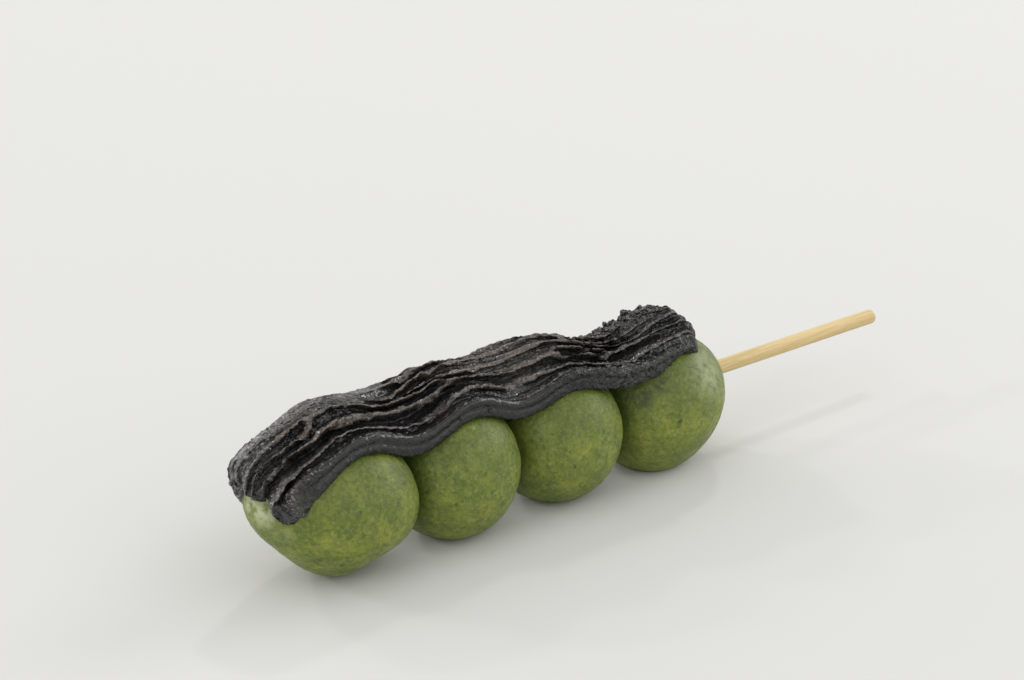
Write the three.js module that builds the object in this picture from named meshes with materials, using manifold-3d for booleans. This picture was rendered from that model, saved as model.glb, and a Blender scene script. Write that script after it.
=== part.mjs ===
// A dango skewer: four rice dumplings on a round bamboo stick, under a ridged band of
// black sesame paste. Lengths are in millimetres. X runs from the tip dumpling to the
// stick's handle end, Z is up, and the dumplings rest on the plane z = 0.

import * as THREE from 'three';
import { mergeVertices } from 'three/addons/utils/BufferGeometryUtils.js';
import Module from 'manifold-3d';

const wasm = await Module();
wasm.setup();

// ---------- driving dimensions ----------

const touchGap = 0.3; // left free between dumplings, and round the stick
const pasteGap = 0.45; // left free between the dumplings and the paste on them
const doughHeight = 12.4; // height of a dumpling's middle: its base is pressed flat
const doughDetail = 6; // subdivisions of each dumpling's icosahedron
const pressed = { height: 0.9, sharpness: 8 }; // dough pushed out towards a neighbour
const faceRounding = 40; // the larger, the sharper the edge of a pressed face

const stick = {
  diameter: 3.0,
  sides: 16,
  tipX: -56.5, // the pointed end, just under the skin of the first dumpling
  handleX: 102.2, // the free end
  heightAtMiddle: 14.6, // height of the axis at x = 0
  fall: 0.0163, // how far the axis sinks for each millimetre towards the handle
  pointLength: 9.0,
  pointRadius: 0.35,
  edgeRound: 0.45, // rounding of the free end
};

// Each swelling adds to a dumpling's radius round one direction; a negative one is a hollow.
const dumplings = [
  {
    x: -37.9,
    radius: 13.4,
    swellings: [
      { toward: [-1, 0.1, 0.4], height: 8.0, sharpness: 6 }, // the nose over the stick's tip
      { toward: [0.18, -0.58, -0.79], height: -2.6, sharpness: 5.5 },
      { toward: [-0.3, 1, -0.2], height: -0.5, sharpness: 4 },
    ],
  },
  {
    x: -12.6,
    radius: 13.3,
    swellings: [
      { toward: [0.6, -0.8, -0.1], height: -0.6, sharpness: 3 },
      { toward: [-0.2, 1, 0.3], height: 0.3, sharpness: 4 },
    ],
  },
  {
    x: 12.7,
    radius: 13.3,
    swellings: [
      { toward: [-0.3, -1, -0.4], height: 0.2, sharpness: 6 },
      { toward: [0.3, 1, -0.1], height: 0.45, sharpness: 4 },
    ],
  },
  {
    x: 38.2,
    radius: 13.8,
    swellings: [
      { toward: [0.8, -0.45, 0.35], height: 1.4, sharpness: 4 },
      { toward: [-0.4, -0.5, -0.75], height: 0.9, sharpness: 6 },
      { toward: [1, 0, 0.08], height: 0.8, sharpness: 14 }, // where the stick leaves it
    ],
  },
];

// The band of paste is piped through a flat toothed nozzle and lies a little to the far
// side, where it hangs down the dumplings.
const band = {
  crests: [0, 0.085, 0.23, 0.36, 0.47, 0.575, 0.685, 0.795, 0.9, 1], // fractions of the width
  crestWidth: 0.035, // flat of a crest, as a fraction of the width
  grooveDepth: 2.3,
  fullGroove: 0.12, // a groove narrower than this fraction of the width is shallower
  grooveFloor: 1.0, // paste left under the deepest groove
  sideBulge: 0.8, // how far the smooth sides swell out
  dip: 2.2, // how far the band sinks between two dumplings
  nearDip: [1.4, 1.3, 0.4], // extra dip at the near edge, gap by gap
  farDip: -1.0, // and at the far edge
  bendRadius: 17, // of the bend over the nose of the first dumpling
  tipEnd: -19.5, // where the band starts, along its length from the first crown
  handleEnd: 83,
  handleTaper: [4, 1.5], // how much shorter it is there at both sides, and at the far side
  nearLobe: 3.1, // how much further the near side reaches down over the nose
  nearCurl: 1.5, // how far its end turns in towards the far side
  farLobe: 6.5, // how much further the far side reaches down
  unevenEnd: 0.7, // the ridges end this far apart
  sway: 0.35, // how far each line wanders sideways
  heave: 0.3, // and up and down
  notch: 1.3, // how far the grooves are cut back at the ends
  endRound: 3, // length of the rounded ends
  bluntness: 0.3, // height left at the very end, as a fraction
  rings: 56,
  underSteps: 8,
};

// Lengths between which one outline of the band turns into the next.
const blends = { tip: [0, 14], curl: [17, 23], handle: [-2, 32] };

// Outlines of the band's top across Y, as [y, height above the crown under it].
const outlines = {
  tip: [[-7, 0.6], [-3.6, 2.5], [0, 3.1], [3, 3.1], [5.5, 2.7], [7.8, 1.6], [9.2, -0.4]],
  middle: [[-6, 2.3], [-3, 3.5], [0.5, 4.3], [5, 4.7], [9.3, 4.1], [12.4, 1.8], [14, -1.6]],
  handle: [[-10.4, -0.2], [-7.5, 2.2], [-4.5, 3.6], [-1.5, 4.3], [1.5, 4.2], [4, 3.3], [6, 1.2]],
};

// ---------- dumplings ----------

dumplings.forEach((ball, index) => {
  ball.centre = new THREE.Vector3(ball.x, 0, doughHeight);
  ball.swellings.forEach((swelling) => {
    swelling.axis = new THREE.Vector3(...swelling.toward).normalize();
  });
  const before = dumplings[index - 1];
  const after = dumplings[index + 1];
  const toMiddle = (other) => Math.abs(other.x - ball.x) / 2 - touchGap / 2;
  ball.tipFace = before ? toMiddle(before) : Infinity; // distance to the face pressed flat
  ball.stickFace = after ? toMiddle(after) : Infinity;
  if (before) ball.swellings.push({ ...pressed, axis: new THREE.Vector3(-1, 0, 0) });
  if (after) ball.swellings.push({ ...pressed, axis: new THREE.Vector3(1, 0, 0) });
});

// Rounds the edge between two limits on a radius: the smaller one wins, softly.
function softLimit(radius, limit) {
  if (!Number.isFinite(limit)) return radius;
  const ratio = (radius / limit) ** faceRounding;
  return radius * (1 + ratio) ** (-1 / faceRounding);
}

// Distance from a dumpling's middle to its surface in a unit direction.
function doughReach(ball, direction) {
  let reach = ball.radius;
  for (const swelling of ball.swellings) {
    reach += swelling.height * Math.exp(swelling.sharpness * (direction.dot(swelling.axis) - 1));
  }
  const face = direction.x < 0 ? ball.tipFace : ball.stickFace;
  reach = softLimit(reach, face / Math.abs(direction.x));
  return direction.z < 0 ? Math.min(reach, doughHeight / -direction.z) : reach;
}

function dumplingGeometry(ball) {
  const geometry = weld(new THREE.IcosahedronGeometry(1, doughDetail));
  const place = geometry.attributes.position;
  const direction = new THREE.Vector3();
  for (let i = 0; i < place.count; i += 1) {
    direction.fromBufferAttribute(place, i).normalize();
    const point = direction.clone().multiplyScalar(doughReach(ball, direction)).add(ball.centre);
    place.setXYZ(i, point.x, point.y, Math.abs(point.z) < 1e-4 ? 0 : point.z);
  }
  return geometry;
}

// ---------- stick ----------

const stickAxisHeight = (x) => stick.heightAtMiddle - stick.fall * x;

// A round bar along X with a point at the tip end, grown all round by a clearance.
function stickGeometry(clearance) {
  const radius = stick.diameter / 2 + clearance;
  const length = stick.handleX - stick.tipX;
  const profile = [
    new THREE.Vector2(0, -clearance),
    new THREE.Vector2(stick.pointRadius + clearance, -clearance),
    new THREE.Vector2(radius, stick.pointLength),
    new THREE.Vector2(radius, length - stick.edgeRound),
    new THREE.Vector2(radius - stick.edgeRound * 0.3, length - stick.edgeRound * 0.3),
    new THREE.Vector2(radius - stick.edgeRound, length),
    new THREE.Vector2(0, length),
  ];
  const bar = new THREE.LatheGeometry(profile, stick.sides);
  bar.rotateX(-Math.PI / 2); // the lathe's +Y axis becomes -Z ...
  bar.rotateY(-Math.PI / 2); // ... and then +X
  bar.rotateY(Math.atan(stick.fall));
  bar.translate(stick.tipX, 0, stickAxisHeight(stick.tipX));
  return weld(bar);
}

// ---------- sesame paste ----------

const { lerp, clamp, smoothstep } = THREE.MathUtils;

// The band's length is measured from the first dumpling's crown: straight along X over the
// tops, and negative where it bends down over the nose.
function bandFrame(length) {
  const first = dumplings[0].centre;
  const bend = Math.max(0, -length) / band.bendRadius;
  const x = first.x + Math.max(0, length);
  return {
    length,
    x,
    overTops: length >= 0,
    origin: new THREE.Vector3(x, 0, doughHeight),
    up: new THREE.Vector3(-Math.sin(bend), 0, Math.cos(bend)),
  };
}

function framePoint(frame, y, height) {
  const point = frame.origin.clone().addScaledVector(frame.up, height);
  point.y = y;
  return point;
}

function clearance(point) {
  const gaps = dumplings.map((ball) => {
    const offset = point.clone().sub(ball.centre);
    const distance = offset.length();
    return distance - doughReach(ball, offset.divideScalar(distance));
  });
  return Math.min(...gaps);
}

// Height along the frame's up direction at which the paste just lies on the dough.
function restHeight(frame, y) {
  let low = 0;
  let high = 32; // above every dumpling
  for (let halving = 0; halving < 22; halving += 1) {
    const middle = (low + high) / 2;
    if (clearance(framePoint(frame, y, middle)) > pasteGap) high = middle;
    else low = middle;
  }
  return high;
}

// 0 over a dumpling's crown, 1 over the gap between two of them.
function gapShare(x) {
  const next = dumplings.findIndex((ball) => ball.x > x);
  if (next <= 0) return 0;
  const from = dumplings[next - 1].x;
  return (1 - Math.cos((2 * Math.PI * (x - from)) / (dumplings[next].x - from))) / 2;
}

function dipAt(x, y) {
  const gap = clamp(dumplings.findIndex((ball) => ball.x > x) - 1, 0, band.nearDip.length - 1);
  const near = smoothstep(-y, 0, 8) * band.nearDip[gap];
  const far = smoothstep(y, 4, 12) * band.farDip;
  return (band.dip + near + far) * gapShare(x);
}

// The underside lies on the dumplings and spans the gaps between them.
function underHeight(frame, y) {
  const rest = restHeight(frame, y);
  if (!frame.overTops) return rest;
  const reach = dumplings[1].radius + pasteGap;
  const span = Math.sqrt(Math.max(reach ** 2 - y ** 2, 0)) - dipAt(frame.x, y);
  return Math.max(rest, span);
}

// The top outline where the band has this length: a curve of [y, height above the crown].
function outlineAt(frame) {
  const toTip = smoothstep(-frame.length, ...blends.tip);
  const toHandle = smoothstep(frame.x, ...blends.handle);
  const curl = band.nearCurl * smoothstep(-frame.length, ...blends.curl);
  const points = outlines.middle.map(([y, height], i) => {
    const [tipY, tipHeight] = outlines.tip[i];
    const [handleY, handleHeight] = outlines.handle[i];
    const curledY = tipY + curl * smoothstep(-tipY, -1, 5);
    return new THREE.Vector2(
      lerp(lerp(y, curledY, toTip), handleY, toHandle),
      lerp(lerp(height, tipHeight, toTip), handleHeight, toHandle),
    );
  });
  return new THREE.SplineCurve(points);
}

// A slow wave of its own for every line of the band.
function wander(line, length) {
  return Math.sin(length / 7.3 + line * 2.1) * 0.6 + Math.sin(length / 3.1 + line * 4.7) * 0.4;
}

// One section: up the near side, over the crests, down the far side and back underneath.
function bandSection() {
  const { crests, crestWidth, underSteps } = band;
  const last = crests.length - 1;
  const side = [[0, 0], [0.25, 1], [0.5, 0.4], [0.8, 0.8]]; // share of the height, bulge
  const section = side.map(([rise, bulge]) => ({ kind: 'near', across: 0, rise, bulge, line: 0 }));
  crests.forEach((place, line) => {
    const from = Math.max(place - crestWidth / 2, 0);
    const to = Math.min(place + crestWidth / 2, 1);
    section.push({ kind: 'crest', across: from, line }, { kind: 'crest', across: to, line });
    if (line === last) return;
    const across = (place + crests[line + 1]) / 2;
    const depth = Math.min(1, (crests[line + 1] - place) / band.fullGroove);
    section.push({ kind: 'groove', across, line, depth });
  });
  side.reverse().forEach(([rise, bulge]) => {
    section.push({ kind: 'far', across: 1, rise, bulge, line: last });
  });
  for (let i = 1; i < underSteps; i += 1) {
    section.push({ kind: 'under', across: 1 - i / underSteps, line: 0 });
  }
  return section;
}

function bandEnds({ kind, across, line }) {
  const outer = Math.abs(2 * across - 1);
  const lobe = across < 0.5 ? band.nearLobe : band.farLobe;
  const notch = kind === 'groove' ? band.notch : 0;
  const uneven = band.unevenEnd * Math.sin(line * 2.4);
  const [atSides, atFarSide] = band.handleTaper;
  return {
    start: band.tipEnd - lobe * outer ** 3 + notch + uneven,
    end: band.handleEnd - atSides * outer ** 4 - atFarSide * across - notch,
  };
}

// Places one point of the section; part01 runs from the tip end of the band to the other.
function bandPoint(point, part01) {
  const { start, end } = bandEnds(point);
  const frame = bandFrame(lerp(start, end, part01));
  const outline = outlineAt(frame);
  const onTop = outline.getPointAt(point.across);
  const edgeY = [outline.points[0].x, outline.points.at(-1).x - 1];
  const underY = point.kind === 'under' ? lerp(edgeY[0], edgeY[1], point.across) : onTop.x;
  const under = underHeight(frame, clamp(underY, edgeY[0], edgeY[1]));
  const crown = frame.overTops
    ? dumplings[1].radius + pasteGap - dipAt(frame.x, onTop.x)
    : restHeight(frame, 2);
  const top = crown + onTop.y + band.heave * wander(point.line + 9, frame.length);
  const fromEnd = Math.min(frame.length - start, end - frame.length) / band.endRound;
  const round = Math.sqrt(1 - (1 - Math.min(fromEnd, 1)) ** 2);
  const fullness = lerp(band.bluntness, 1, round);

  let y = onTop.x;
  let height = top;
  if (point.kind === 'under') {
    y = underY;
    height = under;
  }
  if (point.kind === 'near' || point.kind === 'far') {
    const outward = point.kind === 'near' ? -1 : 1;
    const foot = point.kind === 'near' ? edgeY[0] : edgeY[1];
    y = lerp(foot, onTop.x, point.rise) + outward * band.sideBulge * point.bulge * fullness;
    height = lerp(under, top, point.rise);
  }
  if (point.kind === 'crest' || point.kind === 'groove') {
    const between = point.across > 0 && point.across < 1;
    y += between ? band.sway * wander(point.line, frame.length) : 0;
  }
  if (point.kind === 'groove') {
    const slope = outline.getTangentAt(point.across);
    y += slope.y * band.grooveDepth * point.depth;
    height = Math.max(top - slope.x * band.grooveDepth * point.depth, under + band.grooveFloor);
  }
  return framePoint(frame, y, under + (height - under) * fullness);
}

// Rings stand closer together at the rounded ends.
function ringPlaces() {
  const ends = [0, 0.004, 0.011, 0.021];
  const places = [...ends];
  for (let i = 2; i < band.rings - 1; i += 1) places.push(i / band.rings);
  return [...places, ...ends.map((place) => 1 - place).reverse()];
}

// Triangles that fill a section, zipped across between its top and its underside.
function sectionFaces(section) {
  const last = section.findIndex((point) => point.kind === 'under') - 1;
  const top = section.slice(0, last + 1).map((_, i) => i);
  const under = section.slice(last + 1).map((_, i) => last + 1 + i).reverse();
  const bottom = [0, ...under, last];
  const next = (chain, at) => (at + 1 < chain.length ? section[chain[at + 1]].across : Infinity);
  const faces = [];
  let t = 0;
  let b = 0;
  while (t + 1 < top.length || b + 1 < bottom.length) {
    const fromTop = next(top, t) <= next(bottom, b);
    const face = [top[t], bottom[b], fromTop ? top[t + 1] : bottom[b + 1]];
    if (new Set(face).size === 3) faces.push(face);
    if (fromTop) t += 1;
    else b += 1;
  }
  return faces;
}

function bandGeometry() {
  const section = bandSection();
  const places = ringPlaces();
  const points = places.flatMap((place) => section.map((point) => bandPoint(point, place)));
  const size = section.length;
  const lastRing = (places.length - 1) * size;
  const index = [];
  for (let ring = 0; ring < lastRing; ring += size) {
    for (let i = 0; i < size; i += 1) {
      const a = ring + i;
      const b = ring + ((i + 1) % size);
      index.push(a, a + size, b, b, a + size, b + size);
    }
  }
  sectionFaces(section).forEach(([a, b, c]) => {
    index.push(a, c, b, lastRing + a, lastRing + b, lastRing + c);
  });
  const geometry = new THREE.BufferGeometry().setFromPoints(points);
  geometry.setIndex(index);
  return geometry;
}

// ---------- meshes and solids ----------

function weld(geometry) {
  geometry.deleteAttribute('normal');
  geometry.deleteAttribute('uv');
  return mergeVertices(geometry, 1e-4);
}

function toSolid(geometry) {
  return new wasm.Manifold(new wasm.Mesh({
    numProp: 3,
    vertProperties: new Float32Array(geometry.attributes.position.array),
    triVerts: new Uint32Array(geometry.index.array),
  }));
}

function toGeometry(solid) {
  const mesh = solid.getMesh();
  const geometry = new THREE.BufferGeometry();
  geometry.setAttribute('position', new THREE.BufferAttribute(mesh.vertProperties, mesh.numProp));
  geometry.setIndex(new THREE.BufferAttribute(mesh.triVerts, 1));
  return geometry;
}

function named(name, geometry, color, roughness) {
  const mesh = new THREE.Mesh(
    geometry,
    new THREE.MeshStandardMaterial({ color, roughness, metalness: 0 }),
  );
  mesh.name = name;
  return mesh;
}

const part = new THREE.Group();
part.add(named('bamboo_stick', stickGeometry(0), 0xd9bf83, 0.7));
const bore = toSolid(stickGeometry(touchGap));
dumplings.forEach((ball, index) => {
  const dough = toSolid(dumplingGeometry(ball)).subtract(bore);
  part.add(named(`dango_${index + 1}`, toGeometry(dough), 0x6c7c3c, 0.6));
});

part.add(named('sesame_paste', bandGeometry(), 0x26272a, 0.5));

// The part's origin is the middle of its base.
const box = new THREE.Box3().setFromObject(part);
const middle = box.getCenter(new THREE.Vector3());
part.position.set(-middle.x, -middle.y, -box.min.z);

export default part;
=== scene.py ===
import functools
import math

import bmesh
import bpy
import numpy as np
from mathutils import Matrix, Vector


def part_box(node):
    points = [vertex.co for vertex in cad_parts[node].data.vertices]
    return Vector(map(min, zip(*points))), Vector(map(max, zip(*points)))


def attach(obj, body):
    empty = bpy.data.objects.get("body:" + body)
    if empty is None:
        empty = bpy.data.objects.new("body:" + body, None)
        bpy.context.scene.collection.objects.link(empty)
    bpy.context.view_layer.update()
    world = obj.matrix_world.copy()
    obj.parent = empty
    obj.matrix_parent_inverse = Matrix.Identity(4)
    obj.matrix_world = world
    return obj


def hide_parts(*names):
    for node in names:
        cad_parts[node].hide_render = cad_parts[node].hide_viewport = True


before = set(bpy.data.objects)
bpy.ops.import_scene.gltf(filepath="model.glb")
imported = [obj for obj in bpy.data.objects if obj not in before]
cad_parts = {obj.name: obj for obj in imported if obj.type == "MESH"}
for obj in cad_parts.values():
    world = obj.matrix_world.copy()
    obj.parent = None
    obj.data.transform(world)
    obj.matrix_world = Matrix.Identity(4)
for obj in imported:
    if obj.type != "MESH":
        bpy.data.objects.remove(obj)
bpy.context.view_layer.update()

mm = 0.001  # sizes below are in millimetres, in the skewer's own coordinates

# Skewer coordinates: x along the stick from the tip dumpling to the free end, z up from the
# plate, y = 0 at the stick. The frame's own boxes say where they lie.
handleX = 102.2  # the stick's free end
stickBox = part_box("bamboo_stick")
skewerOrigin = np.array([
    stickBox[1].x / mm - handleX,
    (stickBox[0].y + stickBox[1].y) / 2 / mm,
    0.0,
])


def toFrame(points):
    return (np.asarray(points, float) + skewerOrigin) * mm


# The camera comes first.
view = {
    "place": (-355.6, -404.6, 251.3),  # mm
    "downward": 21.9,  # degrees below the horizon
    "turn": 41.5,  # degrees from the skewer's far side towards its handle
    "lens": 110.0,
    "sensor": 36.0,
}


def makeCamera():
    data = bpy.data.cameras.new("camera")
    data.lens = view["lens"]
    data.sensor_width = view["sensor"]
    data.clip_start = 0.01
    camera = bpy.data.objects.new("camera", data)
    camera.location = Vector(toFrame(view["place"]))
    camera.rotation_euler = (math.radians(90 - view["downward"]), 0, -math.radians(view["turn"]))
    bpy.context.scene.collection.objects.link(camera)
    bpy.context.scene.camera = camera


makeCamera()
print("camera ready")


# Small helpers for meshes and for node trees.
def smoothstep(value, low, high):
    share = np.clip((value - low) / (high - low), 0, 1)
    return share * share * (3 - 2 * share)


def mix(a, b, share):
    return a + (b - a) * share


def blend(name, value):
    return smoothstep(value, *blends[name])


def hill(value, middle, reach, power=2):
    return np.exp(-((value - middle) / reach) ** power)


# Comes in over one span and goes again, wholly or by a share, over another.
def hump(value, height, comes, goes, share=1):
    return height * smoothstep(value, *comes) * (1 - share * smoothstep(value, *goes))


def addObject(name, data):
    piece = bpy.data.objects.new(name, data)
    bpy.context.scene.collection.objects.link(piece)
    return piece


def meshFromArrays(name, points, faces):
    mesh = bpy.data.meshes.new(name)
    mesh.from_pydata(toFrame(points).tolist(), [], faces)
    mesh.shade_smooth()
    mesh.update()
    return mesh


def storeValues(mesh, **fields):
    for name, values in fields.items():
        kind, field = ("FLOAT_VECTOR", "vector") if np.ndim(values) == 2 else ("FLOAT", "value")
        attribute = mesh.attributes.new(name, kind, "POINT")
        attribute.data.foreach_set(field, np.asarray(values, np.float32).ravel())


# Quads of a tube with so many points in each ring.
def tubeFaces(count, rings):
    start = np.arange(rings - 1)[:, None] * count
    point = np.arange(count)
    a, b = (start + point).ravel(), (start + (point + 1) % count).ravel()
    return np.stack([a, a + count, b + count, b], 1)


def isSocket(value):
    return isinstance(value, bpy.types.NodeSocket)


# Adds a node in a tree, or in the tree that a socket belongs to. i0 is the first input.
def addNode(tree, kind, settings=None, **inputs):
    tree = tree.id_data if isSocket(tree) else tree
    node = tree.nodes.new(kind)
    for key, value in (settings or {}).items():
        setattr(node, key, value)
    for key, value in inputs.items():
        socket = node.inputs[int(key[1:]) if key[1:].isdigit() else key]
        if isSocket(value):
            tree.links.new(value, socket)
        else:
            socket.default_value = value
    return node


def math2(operation, a, b=0.0):
    tree = a if isSocket(a) else b
    return addNode(tree, "ShaderNodeMath", {"operation": operation}, i0=a, i1=b).outputs[0]


# One operation over two values or more, from the left.
def chained(operation):
    return lambda *values: functools.reduce(lambda a, b: math2(operation, a, b), values)


times, plus, minus, over, larger = map(chained, ("MULTIPLY", "ADD", "SUBTRACT", "DIVIDE", "MAXIMUM"))


def vector2(operation, a, b):
    slot = "i3" if operation == "SCALE" else "i1"
    return addNode(a, "ShaderNodeVectorMath", {"operation": operation}, i0=a, **{slot: b}).outputs[0]


def axisOf(vector, axis):
    return addNode(vector, "ShaderNodeSeparateXYZ", i0=vector).outputs[axis]


def ramp(value, low, high, start=0.0, end=1.0, kind="SMOOTHSTEP"):
    return addNode(value, "ShaderNodeMapRange", {"interpolation_type": kind}, i0=value, i1=low,
                   i2=high, i3=start, i4=end).outputs[0]


def shade(vector, scale, detail, roughness=0.5):
    return addNode(vector, "ShaderNodeTexNoise", Vector=vector, Scale=scale, Detail=detail,
                   Roughness=roughness).outputs[0]


def noiseField(vector, *noise):  # about -0.5 to 0.5
    return minus(shade(vector, *noise), 0.5)


def geometryTree(name, inputs):
    tree = bpy.data.node_groups.new(name, "GeometryNodeTree")
    tree.interface.new_socket("Geometry", in_out="INPUT", socket_type="NodeSocketGeometry")
    for label, value in inputs.items():
        kind = "NodeSocketInt" if isinstance(value, int) else "NodeSocketFloat"
        tree.interface.new_socket(label, in_out="INPUT", socket_type=kind).default_value = value
    tree.interface.new_socket("Geometry", in_out="OUTPUT", socket_type="NodeSocketGeometry")
    return tree, tree.nodes.new("NodeGroupInput").outputs, tree.nodes.new("NodeGroupOutput")


def namedValue(tree, name, kind="FLOAT"):
    node = addNode(tree, "GeometryNodeInputNamedAttribute", {"data_type": kind}, Name=name)
    return node.outputs["Attribute"]


def pointPlace(tree):  # in mm
    return vector2("SCALE", tree.nodes.new("GeometryNodeInputPosition").outputs[0], 1 / mm)


# Moves each point along its normal by a height in mm.
def raised(geometry, height):
    normal = geometry.id_data.nodes.new("GeometryNodeInputNormal").outputs[0]
    offset = vector2("SCALE", normal, times(height, mm))
    return addNode(geometry, "GeometryNodeSetPosition", Geometry=geometry, Offset=offset)


def bake(piece, modifier):
    graph = bpy.context.evaluated_depsgraph_get()
    mesh = bpy.data.meshes.new_from_object(piece.evaluated_get(graph))
    piece.modifiers.remove(modifier)
    piece.data = mesh


def runTree(piece, tree, values):
    modifier = piece.modifiers.new(tree.name, "NODES")
    modifier.node_group = tree
    for item in tree.interface.items_tree:
        if item.in_out == "INPUT" and item.name in values:
            modifier[item.identifier] = values[item.name]
    bake(piece, modifier)


# Materials. Each one starts from its object coordinates in millimetres. A noise is given as
# scale, detail, roughness, and the two values between which it comes in.
def newMaterial(name, settings):
    material = bpy.data.materials.new(name)
    material.use_nodes = True
    tree = material.node_tree
    tree.nodes.clear()
    output = tree.nodes.new("ShaderNodeOutputMaterial")
    shader = tree.nodes.new("ShaderNodeBsdfPrincipled")
    tree.links.new(shader.outputs[0], output.inputs["Surface"])
    for key, value in settings.items():
        shader.inputs[key].default_value = value
    coordinates = tree.nodes.new("ShaderNodeTexCoord")
    place = vector2("SCALE", coordinates.outputs["Object"], 1 / mm)
    return material, tree, shader, place


# Lays colours of a look over a base, one after the other, each by its share.
def painted(base, look, shares):
    for colour, share in shares:
        base = addNode(share, "ShaderNodeMix", {"data_type": "RGBA"}, i0=share, i6=base,
                       i7=look[colour]).outputs[2]
    return base


def spread(vector, noise, *ends):  # from 0 to 1, or between two ends
    return ramp(shade(vector, *noise[:3]), *noise[3:], *ends)


def mottled(vector, base, look):
    return painted(look[base], look, (
        (colour, times(spread(vector, noise), share)) for colour, noise, share in look["mottles"]
    ))


# Joins a base colour, a roughness where it varies, and bumps of (height, mm, strength).
def finishShader(shader, base, bumps, roughness=None):
    link = shader.id_data.links.new
    link(base, shader.inputs["Base Color"])
    if roughness:
        link(roughness, shader.inputs["Roughness"])
    previous = {}
    for height, distance, strength in bumps:
        node = addNode(height, "ShaderNodeBump", Height=height, Distance=distance * mm,
                       Strength=strength, **previous)
        previous = {"Normal": node.outputs[0]}
    link(node.outputs[0], shader.inputs["Normal"])


def carried(tree, name):  # an attribute stored on the mesh
    return addNode(tree, "ShaderNodeAttribute", {"attribute_name": name}).outputs["Fac"]


# How much of each mark lies on a place, from 0 to 1.
def markShare(place, marks):
    total = None
    for spot, reach, share in marks:
        centre = tuple(np.array(spot) + skewerOrigin)
        away = addNode(place, "ShaderNodeVectorMath", {"operation": "DISTANCE"}, i0=place, i1=centre)
        mark = ramp(away.outputs["Value"], 0.0, reach, share, 0.0)
        total = larger(total, mark) if total else mark
    return total


doughLook = {
    "leafGreen": (0.130, 0.166, 0.026, 1),
    "yellowGreen": (0.215, 0.252, 0.034, 1),
    "greyGreen": (0.135, 0.162, 0.056, 1),
    "deepGreen": (0.054, 0.076, 0.014, 1),
    "speck": (0.026, 0.040, 0.020, 1),
    "starch": (0.33, 0.37, 0.13, 1),
    # whitish starch film, lightened further as a painted highlight
    "starchAndHighlight": (0.60, 0.64, 0.42, 1),
    "oil": (0.030, 0.036, 0.020, 1),
    "mottles": (  # over the leaf green: colour, noise, share
        ("yellowGreen", (0.22, 3, 0.55, 0.36, 0.68), 1.0),
        ("greyGreen", (0.45, 4, 0.60, 0.45, 0.72), 0.50),
        ("deepGreen", (1.00, 4, 0.65, 0.42, 0.68), 0.55),
        ("starch", (1.30, 4, 0.70, 0.46, 0.74), 0.50),
        ("speck", (0.50, 2, 0.40, 0.66, 0.80), 0.75),
    ),
    # Where it is whitish with starch under a painted highlight, or stained by the paste: place, reach in
    # mm, share.
    "starchAndHighlightSpots": (
        ((-57.6, -1.2, 18.0), 5.2, 1.0),
        ((-58.0, 1.2, 18.6), 4.0, 1.0),
        ((-56.0, -5.0, 13.0), 3.4, 0.35),
        ((43.0, -11.4, 19.6), 7.5, 0.55),
        ((-3.5, -10.5, 20.0), 4.0, 0.25),
    ),
    "stains": (
        ((28.4, -8.0, 18.4), 4.6, 0.95),
        ((31.8, -9.8, 19.8), 3.4, 0.95),
        ((26.6, -5.6, 15.0), 4.0, 0.6),
    ),
    "streaks": (0.6, 4, 0.6, 0.30, 0.62),  # the blooms and stains break up in these
    # share of the painted shade in the creases between dumplings
    "creaseShare": 0.8,
    "topShade": (11.0, 20.0, 0.0, 0.36),  # heights from and to, and its share there
    "wetness": (0.3, 2, 0.55, 0.35, 0.65),
    "roughness": (0.30, 0.50),
    "bumps": (((1.1, 4, 0.6), 0.35, 0.6), ((3.0, 2, 0.6), 0.14, 0.55)),  # noise, mm, strength
    "shader": {
        "Subsurface Weight": 0.12, "Subsurface Radius": (1.0, 1.2, 0.5),
        "Subsurface Scale": 1.1 * mm, "Specular IOR Level": 0.28,
    },
}


def makeDoughMaterial():
    look = doughLook
    material, tree, shader, place = newMaterial("mugwortDough", look["shader"])
    streaks = spread(place, look["streaks"])
    base = painted(mottled(place, "leafGreen", look), look, (
        # whitish starch film with a painted highlight on it
        ("starchAndHighlight", times(markShare(place, look["starchAndHighlightSpots"]), streaks)),
        ("oil", times(markShare(place, look["stains"]), streaks)),
        # painted shade in the creases between dumplings
        ("deepGreen", times(carried(tree, "crease"), look["creaseShare"])),
        ("deepGreen", ramp(axisOf(place, 2), *look["topShade"])),
    ))
    wet = spread(place, look["wetness"], *look["roughness"])
    bumps = [(shade(place, *noise), *size) for noise, *size in look["bumps"]]
    finishShader(shader, base, bumps, wet)
    return material


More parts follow.
